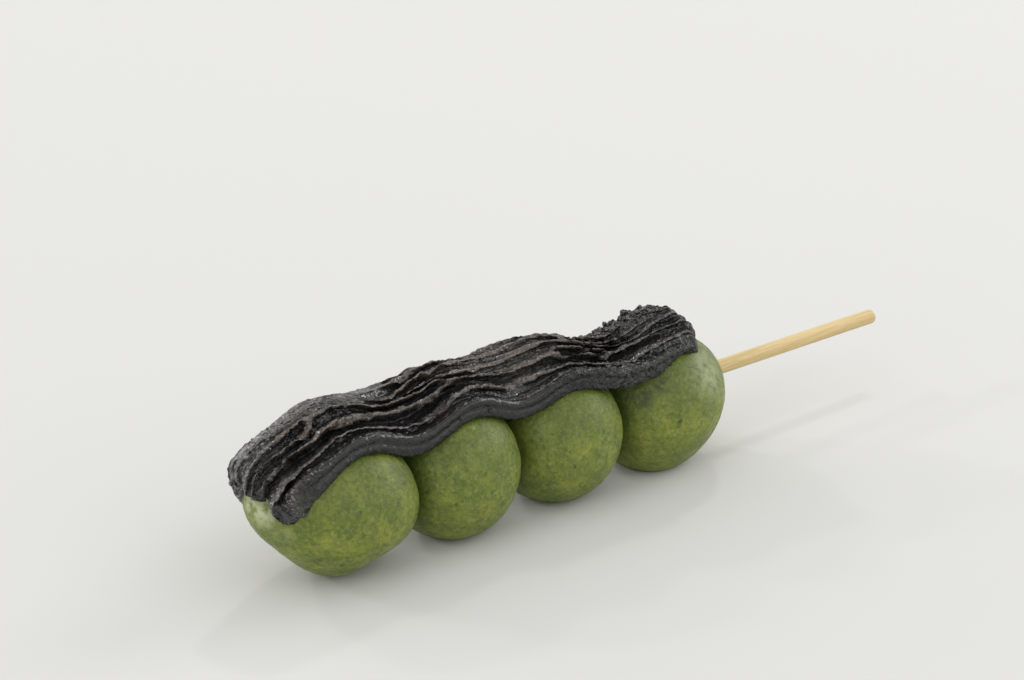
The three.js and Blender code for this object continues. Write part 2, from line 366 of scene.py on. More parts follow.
pasteLook = {
    "black": (0.0066, 0.0066, 0.0069, 1),
    "grey": (0.0145, 0.0145, 0.0148, 1),
    # a painted highlight along the crests' edges
    "edge": (0.135, 0.130, 0.122, 1),
    "brown": (0.110, 0.078, 0.060, 1),
    # paler grey with a painted sheen
    "paleAndSheen": (0.235, 0.230, 0.225, 1),
    # painted glints
    "paintedGlint": (0.38, 0.38, 0.38, 1),
    "hull": (0.24, 0.15, 0.05, 1),
    "mottles": (("grey", (1.3, 4, 0.65, 0.38, 0.66), 1.0),),
    "paleAndSheenNoise": (0.7, 4, 0.6, 0.30, 0.60),
    "paintedGlintFlats": 0.6,  # share of the painted glints away from the crests, which have 1 more
    "paintedGlintFrom": (0.08, 0.32),  # paleness between which the painted glints come in
    "glintNoise": (1.8, 2, 0.6, 0.52, 0.66),
    "glintShare": 0.8,
    "brownPower": 2.0,  # keeps the brown to the crests
    "edgeHighlightFrom": (0.80, 1.0),  # nearness to a crest, where the painted edge highlight lies
    "edgeHighlightNoise": (0.9, 4, 0.7, 0.40, 0.62),
    "edgeHighlightShare": 0.85,
    "hullScale": 0.9,  # bits of sesame hull, in the middles of a few cells
    "hullReach": (0.10, 0.20),
    "hullChance": (0.965, 0.975),
    "glossNoise": (0.45, 3, 0.6, 0.38, 0.62),
    "roughness": (0.08, 0.26),
    "roughShares": {"crumbs": 1.4, "crest": 0.7, "grain": 0.7},
    "grain": {"size": 0.62, "smoothness": 0.5, "height": 0.35},
    "lump": {"noise": (1 / 1.7, 2, 0.5), "height": 0.9},
    "shader": {"Specular IOR Level": 0.38},
}


def makePasteMaterial():
    look = pasteLook
    material, tree, shader, place = newMaterial("blackSesame", look["shader"])
    crest, brownness, pale = (carried(tree, name) for name in ("crest", "brown", "pale"))
    # where the painted glints come in, most on the crests
    wet = ramp(times(pale, plus(crest, look["paintedGlintFlats"])), *look["paintedGlintFrom"])
    # a painted highlight along the crests' edges, broken up by a noise
    edge = times(ramp(crest, *look["edgeHighlightFrom"]), spread(place, look["edgeHighlightNoise"]), look["edgeHighlightShare"])
    cells = addNode(place, "ShaderNodeTexVoronoi", Vector=place, Scale=look["hullScale"])
    hulls = ramp(cells.outputs["Distance"], *look["hullReach"], 1.0, 0.0)
    draw = addNode(tree, "ShaderNodeSeparateColor", i0=cells.outputs["Color"]).outputs[0]
    base = painted(mottled(place, "black", look), look, (
        # paler paste with a painted sheen
        ("paleAndSheen", times(pale, spread(place, look["paleAndSheenNoise"]))),
        # painted glints
        ("paintedGlint", times(spread(place, look["glintNoise"]), wet, look["glintShare"])),
        ("brown", times(math2("POWER", crest, look["brownPower"]), brownness)),
        ("edge", edge),
        ("hull", times(hulls, ramp(draw, *look["hullChance"]))),
    ))
    gloss = spread(place, look["glossNoise"], *look["roughness"])
    shares = look["roughShares"].items()
    rough = plus(*(times(carried(tree, name), share) for name, share in shares))
    grain, lump = look["grain"], look["lump"]
    grains = addNode(place, "ShaderNodeTexVoronoi", {"feature": "SMOOTH_F1"}, Vector=place,
                     Scale=1 / grain["size"], Smoothness=grain["smoothness"]).outputs["Distance"]
    grains = times(minus(1.0, grains), rough)
    lumps = times(shade(place, *lump["noise"]), rough)
    finishShader(shader, base, [(lumps, lump["height"], 1.0), (grains, grain["height"], 1.0)], gloss)
    return material


stickLook = {
    "straw": (0.53, 0.385, 0.160, 1),
    "pale": (0.64, 0.485, 0.235, 1),
    "fibre": (0.31, 0.20, 0.07, 1),
    "damp": (0.40, 0.36, 0.10, 1),  # greenish where it leaves the dough
    "mark": (0.13, 0.11, 0.03, 1),
    "lengthwise": (0.05, 1.0, 1.0),  # the grain's noises are stretched along the stick
    "mottles": (
        ("pale", (1.6, 4, 0.6, 0.35, 0.65), 1.0),
        ("fibre", (6.0, 3, 0.7, 0.56, 0.74), 0.55),
    ),
    "dampFrom": (52.0 + skewerOrigin[0], 66.0 + skewerOrigin[0]),
    "dampShare": (0.6, 0.0),
    "dampNoise": (3.0, 3, 0.6, 0.40, 0.60),
    "marks": (
        ((54.2, -1.3, 14.2), 0.9, 0.8),
        ((55.0, -1.2, 14.7), 0.7, 0.6),
    ),
    "bump": ((5.0, 4, 0.7), 0.10, 0.6),
    "shader": {
        "Roughness": 0.5, "Subsurface Weight": 0.08, "Subsurface Radius": (1.0, 0.7, 0.4),
        "Subsurface Scale": 0.5 * mm,
    },
}


def makeStickMaterial():
    look = stickLook
    material, tree, shader, place = newMaterial("bamboo", look["shader"])
    along = addNode(place, "ShaderNodeMapping", Vector=place, Scale=look["lengthwise"]).outputs[0]
    damp = ramp(axisOf(place, 0), *look["dampFrom"], *look["dampShare"])
    base = painted(mottled(along, "straw", look), look, (
        ("damp", times(damp, spread(along, look["dampNoise"]))),
        ("mark", markShare(place, look["marks"])),
    ))
    noise, *size = look["bump"]
    finishShader(shader, base, [(shade(along, *noise), *size)])
    return material


floorLook = {"Base Color": (0.60, 0.597, 0.58, 1), "Roughness": 0.8, "Specular IOR Level": 0.05}

materials = {
    "dough": makeDoughMaterial(),
    "paste": makePasteMaterial(),
    "stick": makeStickMaterial(),
    "floor": newMaterial("paleFloor", floorLook)[0],
}
print("materials ready")


def endTree(tree, last, result, material):
    real = addNode(tree, "GeometryNodeRealizeInstances", Geometry=last.outputs[0])
    finish = addNode(tree, "GeometryNodeSetMaterial", Geometry=real.outputs[0],
                     Material=materials[material])
    tree.links.new(finish.outputs[0], result.inputs[0])
    return tree


# Four soft dumplings, pressed flat against each other and against the plate.
dough = {
    "middleHeight": 12.4,  # of a dumpling's middle above the plate
    "gap": 0.12,  # left free between neighbours
    "faceRounding": 16,
    # how far the painted shade in the creases reaches, in mm
    "creaseWidth": 0.9,
    "pressed": {"height": 0.9, "sharpness": 8},  # pushed out towards a neighbour
    "balls": [
        {"x": -37.9, "radius": 13.4, "swellings": [
            ((-1, 0.1, 0.4), 8.0, 6),  # the nose over the stick's tip
            ((0.18, -0.58, -0.79), -2.6, 5.5),
            ((-0.3, 1, -0.2), -0.5, 4),
        ]},
        {"x": -12.6, "radius": 13.3, "swellings": [
            ((0.6, -0.8, -0.1), -0.6, 3),
            ((-0.2, 1, 0.3), 0.3, 4),
        ]},
        {"x": 12.7, "radius": 13.3, "swellings": [
            ((-0.3, -1, -0.4), 0.2, 6),
            ((0.3, 1, -0.1), 0.45, 4),
        ]},
        {"x": 38.2, "radius": 13.8, "swellings": [
            ((0.8, -0.45, 0.35), 1.4, 4),
            ((-0.4, -0.5, -0.75), 0.9, 6),
            ((1, 0, 0.08), 0.8, 14),  # where the stick leaves it
        ]},
    ],
    "subdivisions": 7,
    "bore": {"clearance": 0.06, "sides": 32, "rings": 3, "wear": 0.0},
    "sharpAngle": 60,  # at the rims of the bore
    "seedStep": 11.0,
}
doughSkin = {
    "Lump size": 6.0, "Lump height": 0.45,
    "Grain size": 0.85, "Grain height": 0.16,
    "Pit size": 3.4, "Pit depth": 0.06,
}
doughRelief = {
    "details": {"Lump": 1.0, "Grain": 3.0},
    "pitReach": 0.30,  # in pit sizes
    "free": (0.05, 1.2),  # mm above the plate between which it comes in
}


def settleDough():
    balls, push = dough["balls"], dough["pressed"]
    for index, ball in enumerate(balls):
        ball["centre"] = np.array([ball["x"], 0, dough["middleHeight"]])
        ball["bumps"] = [
            (np.array(axis) / np.linalg.norm(axis), height, sharpness)
            for axis, height, sharpness in ball["swellings"]
        ]
        ball["faces"] = []  # towards each neighbour: side, distance
        for side in (-1, 1):
            if 0 <= index + side < len(balls):
                apart = abs(balls[index + side]["x"] - ball["x"])
                ball["faces"].append((side, apart / 2 - dough["gap"] / 2))
                ball["bumps"].append((np.array([side, 0, 0]), push["height"], push["sharpness"]))


# Distance from a dumpling's middle to its surface, for unit directions in rows.
def doughReach(ball, directions):
    reach = np.full(len(directions), float(ball["radius"]))
    for axis, height, sharpness in ball["bumps"]:
        reach += height * np.exp(sharpness * (directions @ axis - 1))
    for side, face in ball["faces"]:
        facing = directions[:, 0] * side > 1e-6
        limit = face / np.abs(directions[facing, 0])
        power = dough["faceRounding"]
        ratio = np.minimum(reach[facing] / limit, 4.0) ** power  # limited, or it overflows
        reach[facing] = reach[facing] * (1 + ratio) ** (-1 / power)
    below = directions[:, 2] < -1e-6
    reach[below] = np.minimum(reach[below], dough["middleHeight"] / -directions[below, 2])
    return reach


def makeDoughTree():
    tree, value, result = geometryTree("doughSkin", {**doughSkin, "Seed": 3.0})
    place = pointPlace(tree)
    shifted = vector2("ADD", place, value["Seed"])
    total = None
    for name, detail in doughRelief["details"].items():
        scale = over(1.0, value[f"{name} size"])
        layer = times(noiseField(shifted, scale, detail), value[f"{name} height"])
        total = plus(total, layer) if total else layer
    cells = addNode(shifted, "ShaderNodeTexVoronoi", Vector=shifted,
                    Scale=over(1.0, value["Pit size"]))
    pits = ramp(cells.outputs["Distance"], 0.0, doughRelief["pitReach"], 1.0, 0.0)
    total = minus(total, times(pits, value["Pit depth"]))
    free = ramp(axisOf(place, 2), *doughRelief["free"])
    worn = raised(value["Geometry"], times(total, free))
    return endTree(tree, worn, result, "dough")


stick = {
    "diameter": 3.0,
    "tipX": -56.5,
    "heightAtMiddle": 14.6,
    "fall": 0.0163,  # for each millimetre towards the handle
    "pointLength": 9.0,
    "pointRadius": 0.35,
    "edgeRound": 0.45,
    "edgeRings": 5,
    "bar": {"clearance": 0.0, "sides": 72, "rings": 300, "wear": 0.05},
    "grain": ((5, 0.4, 0.004, 0.35), (11, 2.0, 0.011, 0.35), (23, 1.1, 0.02, 0.3)),
}


# A round bar along the stick's line. wear adds the fine lengthwise grain of split bamboo,
# from waves given as number around, phase, drift for each mm, and share.
def barMesh(name, clearance, sides, rings, wear):
    radius = stick["diameter"] / 2 + clearance
    length = handleX - stick["tipX"]
    edge, point = stick["edgeRound"], stick["pointLength"]
    turn = np.linspace(0, math.pi / 2, stick["edgeRings"] + 1)[1:]
    along = np.concatenate([
        [0.0], np.linspace(0, 1, rings) * (length - point - edge) + point,
        length - edge * (1 - np.sin(turn)),
    ])[:, None]
    radii = np.concatenate([
        [stick["pointRadius"] + clearance], np.full(rings, radius),
        radius - edge * (1 - np.cos(turn)),
    ])[:, None]
    angles = np.arange(sides) * 2 * math.pi / sides
    grain = sum(
        np.sin(angles * count + phase + along * drift) * share
        for count, phase, drift, share in stick["grain"]
    )
    radii = radii - wear * (0.5 + 0.5 * grain)
    x = stick["tipX"] + along + 0 * angles
    z = stick["heightAtMiddle"] - stick["fall"] * x
    points = np.stack([x, radii * np.cos(angles), z + radii * np.sin(angles)], 2)
    ends = points[[0, -1]].mean(1)
    faces = np.roll(tubeFaces(sides, len(along)), -1, 1).tolist()
    last = (len(along) - 1) * sides
    middle = points.size // 3
    for i in range(sides):
        faces.append((middle, i, (i + 1) % sides))
    for i in range(sides):
        faces.append((middle + 1, last + (i + 1) % sides, last + i))
    mesh = meshFromArrays(name, np.vstack([points.reshape(-1, 3), ends]), faces)
    outward(mesh)
    return mesh


def outward(mesh):
    work = bmesh.new()
    work.from_mesh(mesh)
    bmesh.ops.recalc_face_normals(work, faces=work.faces)
    work.to_mesh(mesh)
    work.free()
    mesh.update()


# Painted shade in the creases between dumplings: 1 where a neighbour lies close, falling off within a
# millimetre or two.
def creaseShare(ball, points):
    share = np.zeros(len(points))
    for side, face in ball["faces"]:
        apart = face - side * (points[:, 0] - ball["centre"][0])
        share = np.maximum(share, np.exp(-np.maximum(apart, 0) / dough["creaseWidth"]))
    return share


def makeDumplings():
    settleDough()
    tree = makeDoughTree()
    sphere = bmesh.new()
    bmesh.ops.create_icosphere(sphere, subdivisions=dough["subdivisions"], radius=1)
    directions = np.array([vertex.co for vertex in sphere.verts], float)
    directions /= np.linalg.norm(directions, axis=1)[:, None]
    faces = [[vertex.index for vertex in face.verts] for face in sphere.faces]
    sphere.free()
    bore = addObject("bore", barMesh("bore", **dough["bore"]))
    for index, ball in enumerate(dough["balls"]):
        points = ball["centre"] + directions * doughReach(ball, directions)[:, None]
        name = f"dumpling_{index + 1}"
        piece = addObject(name, meshFromArrays(name, points, faces))
        storeValues(piece.data, crease=creaseShare(ball, points))
        runTree(piece, tree, {**doughSkin, "Seed": dough["seedStep"] * index})
        cut = piece.modifiers.new("bore", "BOOLEAN")
        cut.operation = "DIFFERENCE"
        cut.solver = "MANIFOLD"
        cut.object = bore
        bake(piece, cut)
        piece.data.shade_smooth()
        piece.data.set_sharp_from_angle(angle=math.radians(dough["sharpAngle"]))
        piece.data.materials.clear()
        piece.data.materials.append(materials["dough"])
        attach(piece, "root")
        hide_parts(f"dango_{index + 1}")
    bpy.data.objects.remove(bore)


def makeStick():
    mesh = barMesh("stick", **stick["bar"])
    piece = addObject("bamboo", mesh)
    mesh.materials.append(materials["stick"])
    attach(piece, "root")
    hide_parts("bamboo_stick")


makeDumplings()
print("dumplings ready")
makeStick()
print("stick ready")

# The band of paste: a slab that lies on the dumplings, with ridges raised on it afterwards.
# Its length is measured from the first dumpling's crown, and is negative over the nose.
band = {
    "crests": (0, 0.085, 0.23, 0.36, 0.47, 0.575, 0.685, 0.795, 0.9, 1),  # shares of the width
    "noseCrests": (0, 0.10, 0.30, 0.44, 0.58, 0.69, 0.78, 0.86, 0.93, 1),
    "gap": 0.05,  # left free between paste and dough
    "crown": 0.45,  # of the slab's reference height over the dough
    "dip": 2.2,  # how far it sinks between two dumplings
    "nearDip": (1.4, 1.3, -0.8),
    "farDip": -1.0,
    "keel": 4.0, "keelPower": 4,  # how much deeper it fills the notch between two dumplings
    "noseY": 2.0,  # where its height over the nose is measured
    "bendRadius": 17,
    "tipEnd": -19.5, "handleEnd": 83, "handleCut": 4.0, "handleTaper": (4, 1.5),
    # The slab ends in a rounded snout: mm around the section, from the near side's foot.
    "snout": {
        "length": 3.0, "middle": 7.0, "nearWidth": 1.8, "farWidth": 1.5, "tuck": 2.2,
        "under": 0.85, "footShare": 0.10,
    },
    "gills": {"length": 1.2, "row": 3.8, "reach": 1.3},  # the ridges reach further down beside it
    "sideHeight": 5.5, "nosePitch": 1.7,
    "nearCurl": 0.4, "farCurl": 1.0,  # how far the outline's edges move towards the camera
    "farLobe": 4.6, "farPoint": 0.82, "farWidth": 0.10,
    "farCut": 2.0,  # how much shorter the far lobe is where it lies on the dough
    "unevenEnd": 0.5, "unevenPace": 2.4, "notch": 0.9,
    "sway": 0.35, "heave": 0.3,
    "endRound": 3.0, "bluntness": 0.05,
    "farRound": 6.5,  # the far lobe thins out towards its point
    "sideBulge": 1.1,
    "noseBulge": 0.5,  # more of it at the tip end, as a share
    "farBulge": 0.85,  # the far side's share of it
    "creases": {  # between the sides' soft swellings: rise, reach, depth
        "near": ((0.55, 0.12, 0.30),),
        "far": ((0.33, 0.09, 0.38), (0.70, 0.07, 0.30)),
    },
    # How far the feet are drawn in, at the handle end and beside the first dumpling.
    "nearTuck": {"height": 1.3, "comes": (58, 68), "goes": (77, 84)},
    "farTuck": {"height": 2.2, "comes": (-12, 0), "goes": (2, 14)},
    "tuckUneven": 0.5, "farInset": 1, "farUneven": 0.6,
    "farLimit": 12.2,  # beyond this the foot would hang free
    "beads": {
        "height": 0.28, "pitch": 1.7, "uneven": 0.35, "pace": 0.9, "rise": 0.32, "reach": 0.10,
        "middle": -2, "spread": 7,
    },
    "waves": ((7.3, 2.1, 0.6), (3.1, 4.7, 0.4)),  # length, change from line to line, share
    "lines": {"heave": 9, "nearFoot": 31, "farFoot": 23},  # each on a line of its own
    "curveSamples": 61, "perPitch": 16, "sideSteps": 18, "underSteps": 36,
    "rings": 430, "crowding": 0.7,  # of the rings at both ends
}
# Spans over which something comes in.
blends = {
    # mm before the first crown
    "tip": (0, 14), "nearCurl": (6, 15), "farCurl": (12, 22), "noseBulge": (8, 18), "lip": (11, 15),
    "handle": (-2, 32),  # x
    # y
    "nearDip": (0, 8), "farDip": (4, 12), "keel": (-6, -2), "nearEdge": (-1, 5), "farEdge": (2, 8),
    # shares of the width, of the near side's height, and of a pitch
    "farRound": (0.6, 0.95), "farThin": (0.55, 0.8), "lipSide": (0.8, 1.0), "lipTop": (0.0, 0.16),
}
# Outlines of the top across y: [y, height above the crown].
outlines = {
    "tip": ((-7, 0.6), (-3.6, 2.5), (0, 3.0), (3, 3.1), (5.4, 3.1), (7.7, 2.3), (9.0, 0.0)),
    "middle": ((-6, 2.3), (-3, 3.5), (0.5, 4.3), (5, 4.7), (9.3, 4.1), (12.4, 1.8), (14, -1.6)),
    "handle": ((-9.4, 0.6), (-7.2, 2.4), (-4.5, 3.6), (-1.5, 4.3), (1.5, 4.2), (4, 3.3), (6, 1.2)),
}


def bandFrames(length):
    first = dough["balls"][0]["centre"]
    bend = np.maximum(0, -length) / band["bendRadius"]
    x = first[0] + np.maximum(0, length)
    up = np.stack([-np.sin(bend), 0 * bend, np.cos(bend)], 1)
    origin = np.stack([x, 0 * x, 0 * x + first[2]], 1)
    return x, origin, up


def framePoints(origin, up, y, height):
    points = origin + up * height[:, None]
    points[:, 1] = y
    return points


def clearanceTo(points):
    gaps = []
    for ball in dough["balls"]:
        offset = points - ball["centre"]
        distance = np.linalg.norm(offset, axis=1)
        gaps.append(distance - doughReach(ball, offset / distance[:, None]))
    return np.min(gaps, axis=0)


def restHeights(origin, up, y):
    low = np.zeros(len(y))
    high = np.full(len(y), 32.0)  # above every dumpling
    for halving in range(20):
        middle = (low + high) / 2
        free = clearanceTo(framePoints(origin, up, y, middle)) > band["gap"]
        high = np.where(free, middle, high)
        low = np.where(free, low, middle)
    return high


# 0 over a dumpling's crown, 1 over the gap between two of them, and which gap it is.
def gapShare(x):
    places = np.array([ball["x"] for ball in dough["balls"]])
    following = np.searchsorted(places, x, side="right")
    inside = (following > 0) & (following < len(places))
    gap = np.clip(following - 1, 0, len(places) - 2)
    start, stop = places[gap], places[gap + 1]
    share = (1 - np.cos(2 * np.pi * (x - start) / (stop - start))) / 2
    return np.where(inside, share, 0), gap


def dipAt(x, y):
    share, gap = gapShare(x)
    near = blend("nearDip", -y) * np.array(band["nearDip"])[gap]
    far = blend("farDip", y) * band["farDip"]
    return (band["dip"] + near + far) * share


def underHeights(length, x, origin, up, y):
    rest = restHeights(origin, up, y)
    reach = dough["balls"][1]["radius"] + band["gap"]
    span = np.sqrt(np.maximum(reach ** 2 - y ** 2, 0)) - dipAt(x, y)
    span -= band["keel"] * gapShare(x)[0] ** band["keelPower"] * blend("keel", y)
    return np.where(length >= 0, np.maximum(rest, span), rest)


# Control points of the top outline for every length.
def outlineControls(length, x):
    toTip, toHandle = blend("tip", -length), blend("handle", x)
    tip, middle, handle = (np.array(outlines[name], float) for name in ("tip", "middle", "handle"))
    curled = np.repeat(tip[None], len(length), 0)
    for side, sign in (("near", -1), ("far", 1)):
        curl = band[side + "Curl"] * blend(side + "Curl", -length)
        curled[:, :, 0] -= curl[:, None] * blend(side + "Edge", sign * tip[:, 0])
    return mix(mix(middle, curled, toTip[:, None, None]), handle, toHandle[:, None, None])


# A smooth curve through the control points, and its slope, at parameters from 0 to 1.
def splineAt(controls, share):
    last = controls.shape[1] - 1
    place = np.clip(share, 0, 1) * last
    knot = np.minimum(place.astype(int), last - 1)
    t = (place - knot)[:, None]
    rows = np.arange(len(controls))
    p0, p1, p2, p3 = (controls[rows, np.clip(knot + step, 0, last)] for step in (-1, 0, 1, 2))
    v0, v1 = (p2 - p0) / 2, (p3 - p1) / 2
    cubic = 2 * p1 - 2 * p2 + v0 + v1
    square = -3 * p1 + 3 * p2 - 2 * v0 - v1
    point = cubic * t ** 3 + square * t ** 2 + v0 * t + p1
    return point, 3 * cubic * t ** 2 + 2 * square * t + v0


# The same, at equal steps along the curve's own length.
def evenSplineAt(controls, share):
    samples = np.linspace(0, 1, band["curveSamples"])
    drawn = np.stack([splineAt(controls, np.full(len(controls), s))[0] for s in samples], 1)
    pieces = np.linalg.norm(np.diff(drawn, axis=1), axis=2)
    travelled = np.concatenate([np.zeros((len(controls), 1)), np.cumsum(pieces, 1)], 1)
    wanted = share * travelled[:, -1]
    at = np.clip((travelled <= wanted[:, None]).sum(1) - 1, 0, len(samples) - 2)
    rows = np.arange(len(controls))
    part = (wanted - travelled[rows, at]) / np.maximum(pieces[rows, at], 1e-9)
    return splineAt(controls, (at + np.clip(part, 0, 1)) / (len(samples) - 1))


def wander(line, length):
    return sum(np.sin(length / wave + line * change) * share for wave, change, share in band["waves"])


# Soft swellings with creases between them, on a smooth side of the band.
def sideProfile(side, rise):
    creases = sum(depth * hill(rise, middle, reach) for middle, reach, depth in band["creases"][side])
    return np.maximum(1 - (2 * rise - 1) ** 4, 0) ** 0.5 * (1 - creases)


# A row of small beads along the near side.
def beadRow(rise, length):
    beads = band["beads"]
    row = hill(rise, beads["rise"], beads["reach"])
    near = hill(length, beads["middle"], beads["spread"], 4)
    steps = length / beads["pitch"] + beads["uneven"] * np.sin(length * beads["pace"])
    return beads["height"] * row * near * (0.5 + 0.5 * np.sin(2 * np.pi * steps))


# One section, as columns: up the near side, over the top, down the far side, underneath.
def bandColumns():
    pitches = len(band["crests"]) - 1
    phase = np.linspace(0, pitches, pitches * band["perPitch"] + 1)
    across = np.interp(phase, np.arange(pitches + 1), band["crests"])
    rise = np.linspace(0, 1, band["sideSteps"] + 1)[:-1]
    under = 1 - np.arange(1, band["underSteps"]) / band["underSteps"]
    parts = {  # across, rise, phase
        "near": (0, rise, 0), "top": (across, 1, phase), "far": (1, rise[::-1], pitches),
        "under": (under, 0, 0),
    }
    columns = [np.stack(np.broadcast_arrays(*part), 1) for part in parts.values()]
    return np.repeat(list(parts), [len(rows) for rows in columns]), np.concatenate(columns)


def bandEnds(across, phase, rise, isTop, isUnder):
    outer = np.abs(2 * across - 1)
    rows = np.interp(across, band["crests"], np.arange(len(band["crests"])))
    snout = band["snout"]
    risen = np.where(isUnder, smoothstep(across, 0.0, snout["footShare"]), rise)
    around = band["sideHeight"] * risen + band["nosePitch"] * rows
    width = np.where(around < snout["middle"], snout["nearWidth"], snout["farWidth"])
    nearLobe = snout["length"] * hill(around, snout["middle"], width)
    nearLobe *= np.where(isUnder, snout["under"], 1)
    nearLobe -= snout["tuck"] * (1 - smoothstep(around, 0.0, snout["middle"]))
    farLobe = band["farLobe"] * hill(across, band["farPoint"], band["farWidth"])
    farLobe -= band["farCut"] * (1 - rise)
    gills = band["gills"]
    lobe = np.where(across < 0.5, nearLobe, farLobe)
    lobe += gills["length"] * hill(rows, gills["row"], gills["reach"])
    notch = np.where(isTop, band["notch"] * np.sin(np.pi * phase) ** 2, 0)
    uneven = -band["unevenEnd"] * np.sin(phase * band["unevenPace"])
    atSides, atFarSide = band["handleTaper"]
    start = band["tipEnd"] - lobe + notch + uneven
    tucked = band["handleCut"] * (1 - rise) ** 2 * (1 - across)
    end = band["handleEnd"] - atSides * outer ** 4 - atFarSide * across - tucked - notch
    return start, end


def bandGrid():
    kinds, columns = bandColumns()
    count = len(kinds)
    steps = np.linspace(0, 1, band["rings"])
    steps = steps - band["crowding"] * np.sin(2 * np.pi * steps) / (2 * np.pi)
    part = np.repeat(steps, count)
    across, rise, phase = (np.tile(columns[:, i], len(steps)) for i in range(3))
    kind = np.tile(kinds, len(steps))
    isTop, isUnder = kind == "top", kind == "under"
    start, end = bandEnds(across, phase, rise, isTop, isUnder)
    length = start + (end - start) * part
    overNose = np.interp(phase, np.arange(len(band["crests"])), band["noseCrests"])
    drawn = np.where(isTop, mix(across, overNose, blend("tip", -length)), across)
    x, origin, up = bandFrames(length)
    controls = outlineControls(length, x)
    onTop, slope = evenSplineAt(controls, drawn)
    slope /= np.linalg.norm(slope, axis=1)[:, None]
    lines = band["lines"]
    uneven = 1 + band["tuckUneven"] * wander(lines["nearFoot"], length)
    nearY = controls[:, 0, 0] + hump(length, **band["nearTuck"]) * uneven
    farY = controls[:, -1, 0] - band["farInset"] - hump(-length, **band["farTuck"])
    farY = np.minimum(farY, band["farLimit"]) + band["farUneven"] * wander(lines["farFoot"], length)
    underY = np.clip(np.where(isUnder, mix(nearY, farY, across), onTop[:, 0]), nearY, farY)
    under = underHeights(length, x, origin, up, underY)
    crownOver = dough["balls"][1]["radius"] + band["crown"] - dipAt(x, onTop[:, 0])
    noseHeight = restHeights(origin, up, np.full(len(x), band["noseY"])) + band["crown"] - band["gap"]
    crown = np.where(length >= 0, crownOver, noseHeight)
    top = crown + onTop[:, 1] + band["heave"] * wander(phase + lines["heave"], length)
    tipRound = mix(band["endRound"], band["farRound"], blend("farRound", across))
    fromEnd = np.minimum((length - start) / tipRound, (end - length) / band["endRound"])
    fromEnd = np.clip(fromEnd, 0, 1)
    rounded = mix(np.sqrt(1 - (1 - fromEnd) ** 2), fromEnd, blend("farThin", across) * (length < 0))
    fullness = mix(band["bluntness"], 1, rounded)
    y = np.where(isUnder, underY, onTop[:, 0])
    height = np.where(isUnder, under, top)
    swell = band["sideBulge"] * (1 + band["noseBulge"] * blend("noseBulge", -length))
    nearBulge = -(swell * sideProfile("near", rise) + beadRow(rise, length)) * fullness
    farBulge = band["farBulge"] * swell * sideProfile("far", rise) * fullness
    for name, foot, bulge in (("near", nearY, nearBulge), ("far", farY, farBulge)):
        side = kind == name
        y[side] = (mix(foot, onTop[:, 0], rise) + bulge)[side]
        height[side] = mix(under, top, rise)[side]
    inner = isTop & (across > 0) & (across < 1)
    y[inner] += (band["sway"] * wander(phase, length))[inner]
    height = under + (height - under) * fullness
    points = framePoints(origin, up, y, height)
    acrossDir = framePoints(0, up, slope[:, 0], slope[:, 1])
    outDir = framePoints(0, up, -slope[:, 1], slope[:, 0])
    return dict(
        count=count, steps=len(steps), kind=kind, points=points, length=length, across=across,
        phase=phase, rise=rise, fullness=fullness, thickness=height - under, outDir=outDir,
        acrossDir=acrossDir,
    )


# Faces of the tube, and of the two ends, zipped between the top and the underside.
def bandFaces(grid):
    count, steps = grid["count"], grid["steps"]
    faces = tubeFaces(count, steps).tolist()
    kind, across = grid["kind"][:count], grid["across"][:count]
    topChain = [i for i in range(count) if kind[i] != "under"]
    underChain = [topChain[0], *[i for i in range(count) if kind[i] == "under"][::-1], topChain[-1]]

    def ahead(chain, at):
        return across[chain[at + 1]] if at + 1 < len(chain) else math.inf

    t = u = 0
    lastRing = (steps - 1) * count
    while t + 1 < len(topChain) or u + 1 < len(underChain):
        fromTop = bool(ahead(topChain, t) <= ahead(underChain, u))
        a, b, c = topChain[t], underChain[u], topChain[t + 1] if fromTop else underChain[u + 1]
        if len({a, b, c}) == 3:
            faces += [(a, c, b), (a + lastRing, b + lastRing, c + lastRing)]
        t, u = t + fromTop, u + (not fromTop)
    return faces


